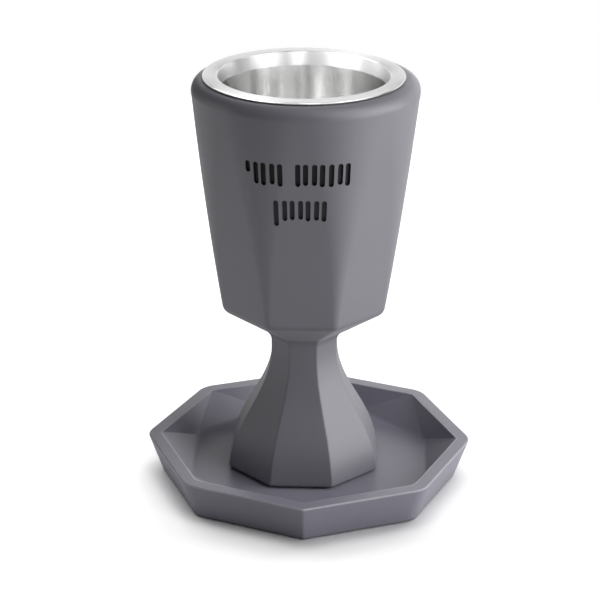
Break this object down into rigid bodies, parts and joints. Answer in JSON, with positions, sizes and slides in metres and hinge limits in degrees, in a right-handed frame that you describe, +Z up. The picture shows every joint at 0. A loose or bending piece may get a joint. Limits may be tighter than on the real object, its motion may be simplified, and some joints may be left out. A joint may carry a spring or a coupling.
{
  "type": "kiddush cup",
  "caption": "Cast goblet whose bowl turns from round at the lip to octagonal at the base, with a loose steel liner and engraved strokes, standing in an octagonal saucer.",
  "frame": {"origin": "centre of the saucer's underside", "axes": "+Z up along the cup, -Y towards the front, where the rows of engraved strokes are"},
  "size_m": [0.1084, 0.1096, 0.1402],
  "materials": {
    "cast_grey": "matte cast stone resin with a faint satin sheen, darker in the engraved strokes",
    "brushed_steel": "spun and brushed stainless steel, with a flat satin lip"
  },
  "bodies": {
    "root": {"saucer": "cast_grey", "goblet": "cast_grey", "liner": "brushed_steel"}
  },
  "joints": []
}
